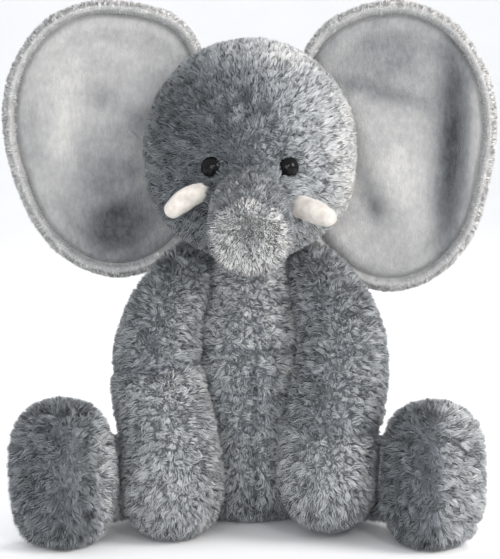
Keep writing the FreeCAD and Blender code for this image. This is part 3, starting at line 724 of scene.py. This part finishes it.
def ear_folds(side, u, w):
    """The lining's folds: positive goes back."""
    if side == "left":
        folds = (
            valley(u, w, (32, 52), (34, -56), 12, 6.5)
            + valley(u, w, (-26, 30), (16, 22), 7, 3.5)
            + valley(u, w, (10, 24), (24, 8), 8, 3)
            + valley(u, w, (-20, -20), (-8, -48), 9, 4)
            + valley(u, w, (-14, 4), (6, -46), 14, -3.5)
        )
    else:
        folds = (
            valley(u, w, (-4, 30), (14, 22), 11, 3.5)
            + valley(u, w, (-34, 0), (-6, -18), 6, 3)
            + valley(u, w, (-24, 12), (-14, 2), 10, 4)
            + valley(u, w, (24, 40), (30, -30), 12, -3)
            + valley(u, w, (-4, -40), (6, -60), 22, 3)
        )
    q = np.stack([u, w, np.zeros_like(u)], -1)
    return folds + 0.9 * ripple(q, 26, 31 + SIDES[side]) + 0.42 * ripple(q, 9, 33) + 0.12 * ripple(q, 4.5, 34)


def ear_painted_light_and_shade(side, u, w):
    """Painted light and shade on the lining, from 0 to 1: darker in its hollows, along folds and in the
    head's shadow, paler on its ridges.
    """
    if side == "left":
        shade = (
            0.5 + valley(u, w, (-30, 50), (20, 52), 22, -0.22) + valley(u, w, (38, 56), (32, -62), 9.5, -0.52)
            + valley(u, w, (-32, 36), (24, 22), 6, -0.14) + valley(u, w, (52, 40), (50, -40), 5, 0.14)
            + valley(u, w, (-12, -30), (-6, -44), 5, -0.22) + valley(u, w, (-4, 6), (12, -40), 18, 0.08)
        )
    else:
        shade = (
            0.5 + valley(u, w, (26, 44), (22, -44), 12, 0.14) + valley(u, w, (2, -32), (-12, -66), 25, -0.56)
            + valley(u, w, (-30, 16), (-14, 4), 9, -0.2) + valley(u, w, (8, 30), (-2, 20), 7, -0.12)
            + valley(u, w, (46, 30), (44, -20), 7, -0.12) + valley(u, w, (-18, -14), (-8, -24), 6, -0.12)
        )
    return np.clip(shade, 0, 1)


def ear(side):
    angle, reach, free = ear_outline(side)
    cos, sin = np.cos(angle), np.sin(angle)
    rim = 1.0 + 4.0 * free
    flutter = ripple(np.stack([cos, sin, cos * 0], -1) * 60, 9, 41) * 0.5

    def ring(distance, depth):
        u, w = cos * distance, sin * distance
        return ear_place(side, u, w, depth + ear_cup(side, u, w))

    inner = reach - rim
    lift = 0.35 + 0.65 * free
    rows = [(0 * reach, 9.0 + 0 * reach, 1.0)]  # distance from the middle, depth, and share of pile
    for share in (0.15, 0.3, 0.45, 0.6, 0.72, 0.83, 0.91):
        rows.append((reach * share, 9.0 - 4.2 * share**3 + 0 * reach, 1.0))
    rows += [
        (reach - 2.2, 4.0 * lift, 1.0), (reach - 0.4, 1.8 * lift, 1.0), (reach + flutter, 0 * reach, 1.0),
        (reach - 0.6, -3.0 * lift, 1.0), (reach - 0.25 * rim, -5.4 * lift, 1.0),
        (reach - 0.5 * rim, -6.2 * lift, 1.0), (reach - 0.75 * rim, -5.4 * lift, 0.3),
        (inner, -2.8 * lift, 0.0), (inner - 0.5, 0.6 + 0 * reach, 0.0),
    ]
    for share in (0.9, 0.7, 0.5, 0.3, 0.12):
        rows.append((inner * share, 7.8 - 5.5 * share**4 + 0 * reach, 0.0))
    rows.append((0 * reach, 7.8 + 0 * reach, 0.0))
    rings = [ring(distance, depth) for distance, depth, _ in rows]
    vertices, triangles = polar(rings)
    triangles = facing_out(vertices, triangles)
    grow = np.concatenate([[1.0], *[np.full(EAR_COLUMNS, g) for _, _, g in rows[1:-1]], [0.0]])
    skin_piece(
        f"ear_plush_{side}", f"ear_{side}", vertices, triangles, 0.3,
        [f"ear_back_{side}", f"ear_wadding_{side}"], slot="ear_plush", look=EAR_BACKING,
    )
    middle = ear_place(side, np.zeros(1), np.zeros(1), np.zeros(1))[0]

    def outward(roots, out):
        """Away from the ear's middle, and on the back a little down too."""
        return unit(roots - middle) + np.array([0, 0, -0.25])

    pile(
        f"ear_pile_{side}", f"ear_{side}", (vertices, triangles), 51 + SIDES[side], 4.2, 2.9, outward,
        EAR_PILE, grow, stand=0.7, mess=0.3, clump=2.0,
    )

    front = [0 * reach] + [inner * share for share in np.linspace(0.04, 0.9, 34)]
    front += [inner - gap for gap in (4.2, 3.2, 2.4, 1.6, 0.9, 0.4)]
    rings, lining_light_and_shade = [], []
    for distance in front:
        u, w = cos * distance, sin * distance
        lining_light_and_shade.append(ear_painted_light_and_shade(side, u, w))
        left = inner - distance
        roll = -3.4 * lift * np.exp(-(((left - 7.5) / 6.5) ** 2)) * free
        tuck = 3.4 * np.exp(-((left / 2.0) ** 2))
        dish = ear_folds(side, u, w) * np.clip(left / 16, 0, 1) ** 0.7
        depth = np.minimum(-0.6 + dish + roll + tuck, 6.9 - 5.5 * (distance / inner) ** 4)
        rings.append(ring(distance, depth))
    for share in (0.99, 0.9, 0.75, 0.6, 0.3, 0):
        rings.append(ring(inner * share, 7.4 - 5.5 * share**4 + 0 * reach))
    vertices, triangles = polar(rings)
    triangles = facing_out(vertices, triangles)
    lining = skin_piece(
        f"ear_velour_{side}", f"ear_{side}", vertices, triangles, None, [f"ear_lining_{side}"],
        slot="ear_velour", look=VELOUR,
    )
    # The nap attribute holds the lining's painted light and shade, ring by ring.
    values = np.full(len(vertices), 0.5, np.float32)
    values[0] = lining_light_and_shade[0].mean()
    values[1:1 + EAR_COLUMNS * (len(lining_light_and_shade) - 1)] = np.concatenate(lining_light_and_shade[1:])
    lining.data.attributes.new("nap", "FLOAT", "POINT").data.foreach_set("value", values)


def facing_out(vertices, triangles):
    """The triangles, turned over where the signed volume says that they look inward."""
    a, b, c = (vertices[triangles[:, i]] for i in range(3))
    return triangles[:, ::-1] if (a * np.cross(b, c)).sum() < 0 else triangles


for side in SIDES:
    ear(side)

# ---- Tusks, eyes and what is carried over --------------------------------------------------------------

TUSKS = {"left": (185.5, 3.5, 1.0), "right": (193.0, 6.5, 0.92)}  # height, fall to the tip, thickness
for side, sign in SIDES.items():
    z, fall, thick = TUSKS[side]
    balls = spline([
        (sign * 24, -36, z + 1.5, 5.8 * thick), (sign * 30, -41.5, z + 1, 6.4 * thick),
        (sign * 37, -46, z - fall * 0.4, 6.4 * thick), (sign * 42, -49.5, z - fall, 5.4 * thick),
    ], 24)

    def tusk_field(p, balls=balls, seed=61 + sign):
        return worm(p, balls) + 0.3 * ripple(p, 6, seed) + 0.12 * ripple(p, 2.6, seed)

    vertices, quads = surface(tusk_field, *around(balls, 3), 1.0)
    skin_piece(
        f"tusk_felt_{side}", "head", vertices, quads, 0.95, [f"tusk_{side}", f"tusk_stuffing_{side}"],
        slot="tusk_felt", look=FELT,
    )

for name, look in {"eye_left": EYE, "eye_right": EYE, "eye_washer_left": WASHER, "eye_washer_right": WASHER,
                   "neck_stitch": THREAD}.items():
    carried = frame["nodes"][name]
    carried.data.materials.clear()
    carried.data.materials.append(look)

# ---- Where the pile grows ------------------------------------------------------------------------------


def torso_comb(roots, out):
    lie = np.zeros_like(roots)
    lie[:, 2] = -1
    lie[:, 0] = roots[:, 0] * 0.012
    return lie


# The torso's pile is paler above the chest seam, and darker in the seams as painted shade in their creases.
pile(
    "torso_pile", "torso", torso, 101, 5.2, 6.0, torso_comb, stand=0.8, mess=0.42,
    grow=np.where(torso[0][:, 2] > 4, 1.0, 0.15) * (1 - 0.6 * torso_seams(torso[0])),
    tone=lambda p: 0.06 * np.tanh((p[:, 2] - 96) / 12) + 0.1 - 0.3 * torso_seams(p),
    clear=[arm_field(side) for side in SIDES] + [leg_field(side) for side in SIDES] + [head_field],
)

NOSE = np.array([0, -52, 197.0])


def head_comb(roots, out):
    return unit(roots - NOSE) + np.array([0, 0.3, 0])


def head_painted_light(p):
    """Painted light and shade on the head's front: dark on the right, pale on the left and on top, with
    painted shade on the forehead and between the eyes above the trunk.
    """
    sides = 0.23 * np.tanh((p[:, 0] - 8) / 26) + 0.1 * np.tanh((p[:, 0] - 46) / 8)
    top = 0.16 * np.tanh((p[:, 2] - 262) / 6) + 0.16
    forehead_shade = -0.1 * np.exp(-(((p[:, 0] - 2) / 20) ** 2) - ((p[:, 2] - 232) / 22) ** 2)
    trunk_bridge_shade = -0.14 * np.exp(-(((p[:, 0] - 1) / 24) ** 2) - ((p[:, 2] - 199) / 10) ** 2)
    front = 0.5 - 0.5 * np.tanh((p[:, 1] - 22) / 10)
    return (sides + top) * front + forehead_shade + trunk_bridge_shade - 0.01 + (forehead_shade < -0.03) * 0.13 * ripple(p, 6, 113)


def bare_head(p):
    """Where no pile grows: at the eyes, under the tusks and in the trunk's and neck's seams."""
    share = np.ones(len(p))
    for spot in EYES.values():
        share *= np.linalg.norm(p - spot, axis=1) > EYE_BARE
    share *= trunk_field(p) > 0.5
    share *= np.linalg.norm(p - NECK, axis=1) > NECK_BARE
    return share


halves = {"front": head[0][:, 1] < 4, "back": head[0][:, 1] >= 4}
for number, (half, chosen) in enumerate(halves.items()):
    pile(
        f"head_pile_{half}", "head", head, 111 + number, 6.6, 5.0, head_comb, stand=0.78, mess=0.38,
        clump=2.6, grow=bare_head(head[0]) * chosen, tone=head_painted_light,
        clear=[trunk_field, torso_field],
    )


def trunk_comb(roots, out):
    return np.broadcast_to(TRUNK_AXIS, roots.shape) + unit(roots - TRUNK_TIP) * 0.2


def end_comb(roots, out):
    return unit(roots - TRUNK_TIP - TRUNK_AXIS * 2)


trunk_end = (trunk[0] - TRUNK_TIP) @ TRUNK_AXIS > -4.0
pile(
    "trunk_pile", "trunk", trunk, 121, 6.0, 4.6, trunk_comb, stand=0.75, mess=0.35, clump=2.4,
    grow=~trunk_end * (head_field(trunk[0]) > -3) * 1.0,
)
# Painted light on the trunk's end: its pile is paler all over, and paler still away from its middle.
pile(
    "trunk_end_pile", "trunk", trunk, 122, 11, 3.8, end_comb, stand=0.82, mess=0.18, clump=2.4, gather=0.12,
    grow=trunk_end * 1.0,
    tone=lambda p: 0.24 * np.clip(np.linalg.norm(p - TRUNK_TIP, axis=1) / 10 - 0.1, 0, 1) + 0.2,
)


def foot_painted_light(p, side):
    """Painted light and shade: dark on most of the right foot and on the inner half of the left one, with a
    darker line down each, and pale on the left one's outer half.
    """
    if side == "left":
        return 0.18 * np.tanh((p[:, 0] - 101) / 4) - 0.1 - 0.12 * np.exp(-(((p[:, 0] - 99) / 3) ** 2))
    return 0.15 * np.tanh((p[:, 0] + 88) / 3) - 0.06 - 0.08 * np.exp(-(((p[:, 0] + 90) / 2.2) ** 2))


def arm_tone(p, side):
    """Paler below the cuff's seam, and darker in the seam as painted shade in its crease."""
    seam = cuff_seam(p, side)
    return 0.04 + 0.06 * np.tanh((seam - p[:, 2]) / 4) - 0.24 * np.exp(-(((p[:, 2] - seam) / 2.2) ** 2))


for number, side in enumerate(SIDES):
    sign = SIDES[side]

    def arm_comb(roots, out, sign=sign):
        lie = np.zeros_like(roots)
        lie[:, 2] = -1
        lie[:, 1] = -0.35
        return lie + np.array([sign * 0.12, 0, 0])

    pile(
        f"arm_pile_{side}", f"arm_{side}", arms[side], 131 + number, 5.0, 6.2, arm_comb, stand=0.74,
        mess=0.36, tone=lambda p: arm_tone(p, side), clear=[leg_field(side), torso_field, head_field],
    )

    def leg_comb(roots, out, sign=sign):
        ankle = np.array([sign * 100, -55, 40])
        lie = unit(roots - ankle) * 0.8
        lie[:, 2] -= 0.7
        return lie

    pile(
        f"leg_pile_{side}", f"leg_{side}", legs[side], 141 + number, 5.0, 6.2, leg_comb, stand=0.76,
        mess=0.42, clump=3.2, tone=lambda p: foot_painted_light(p, side), clear=[arm_field(side), torso_field],
    )

# ---- Tail ----------------------------------------------------------------------------------------------

TAIL_ROOT, TAIL_SLOPE = np.array([0, 72.5, 46.0]), math.radians(28)
TAIL_WAY = np.array([0, math.sin(TAIL_SLOPE), -math.cos(TAIL_SLOPE)])
TAIL_LENGTH = 24


def tail_comb(roots, out):
    return np.broadcast_to(TAIL_WAY, roots.shape)


tail_balls = [(*(TAIL_ROOT + TAIL_WAY * far), 3.4) for far in np.linspace(0, TAIL_LENGTH, 16)]
tail = surface(lambda p: worm(p, tail_balls) + 0.2 * ripple(p, 6, 71), *around(tail_balls, 3), 1.2)
tail = (tail[0], triangles_of(tail[1]))
skin_piece("tail_plush", "tail", *tail, None, ["tail_strip"])
pile("tail_pile", "tail", tail, 151, 2.0, 5.0, tail_comb, stand=0.35)
end = TAIL_ROOT + TAIL_WAY * TAIL_LENGTH
tuft = surface(lambda p: egg(p, end, (6, 6, 9)) + 0.4 * ripple(p, 8, 72), end - 14, end + 14, 1.5)
tuft = (tuft[0], triangles_of(tuft[1]))
skin_piece("tail_tuft_plush", "tail", *tuft, None, ["tail_tuft"])
pile("tail_tuft_pile", "tail", tuft, 152, 2.5, 9.0, tail_comb, stand=0.4, mess=0.5, clump=3.0)

# ---- Floor, light and camera ---------------------------------------------------------------------------

FLOOR_LOOK = cloth_material(
    "floor_paper", [(0.3, (0.90, 0.90, 0.90)), (0.7, (0.93, 0.93, 0.93))], 6, 400, 0.0001, Roughness=0.9
)


def backdrop():
    """A floor that sweeps up behind the toy."""
    rows = [(-3.0, 0.0)]
    for angle in np.linspace(0, math.pi / 2, 13):
        rows.append((1.6 + 1.2 * math.sin(angle), 1.2 - 1.2 * math.cos(angle)))
    rows.append((2.8, 4.0))
    across = np.linspace(-4, 4, 17)
    vertices = np.array([(x, y, z) for y, z in rows for x in across]) / MM
    index = np.arange(len(rows) * 17).reshape(len(rows), 17)
    quads = np.stack([index[:-1, :-1], index[:-1, 1:], index[1:, 1:], index[1:, :-1]], -1).reshape(-1, 4)
    make("floor", vertices, quads, FLOOR_LOOK)


def lamp(name, spot, target, size, watts, colour):
    data = bpy.data.lights.new(name, "AREA")
    data.shape, data.size, data.energy, data.color = "DISK", size, watts, colour
    lit = bpy.data.objects.new(name, data)
    lit.location = spot
    lit.rotation_euler = (Vector(target) - Vector(spot)).to_track_quat("-Z", "Y").to_euler()
    bpy.context.scene.collection.objects.link(lit)


backdrop()
lamp("key", (1.1, -0.6, 0.75), (0, 0, 0.15), 0.7, 13, (1.0, 0.965, 0.93))
lamp("front", (-0.25, -1.7, 0.45), (0, 0, 0.13), 1.0, 12, (0.93, 0.965, 1.0))
lamp("rim", (0.5, 0.9, 1.1), (0, 0, 0.2), 0.7, 8, (1, 1, 1))
lamp("catch", (0.32, -1.1, 0.62), (0, -0.03, 0.2), 0.13, 2.2, (1, 1, 1))
world = bpy.data.worlds.new("studio")
world.use_nodes = True
world.node_tree.nodes["Background"].inputs["Color"].default_value = (0.95, 0.97, 1.0, 1)
world.node_tree.nodes["Background"].inputs["Strength"].default_value = 0.95
scene = bpy.context.scene
scene.world = world
scene.view_settings.view_transform = "Standard"

TARGET = Vector((0, 0.0215, 0.139))
AWAY, TILT, SENSOR = 1.15, math.radians(7), 36
camera = bpy.data.objects.new("camera", bpy.data.cameras.new("camera"))
camera.data.sensor_fit = "HORIZONTAL"
camera.data.sensor_width = SENSOR
camera.data.lens = SENSOR * 1150 / 292.5
camera.location = TARGET + Vector((0, -math.cos(TILT), math.sin(TILT))) * AWAY
camera.rotation_euler = (TARGET - camera.location).to_track_quat("-Z", "Y").to_euler()
scene.collection.objects.link(camera)
scene.camera = camera

# The soles and the trunk's end panel are part of the leg's and the trunk's skins.
for side in SIDES:
    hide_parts(f"foot_sole_{side}")
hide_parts("trunk_end_panel")

bpy.context.view_layer.update()
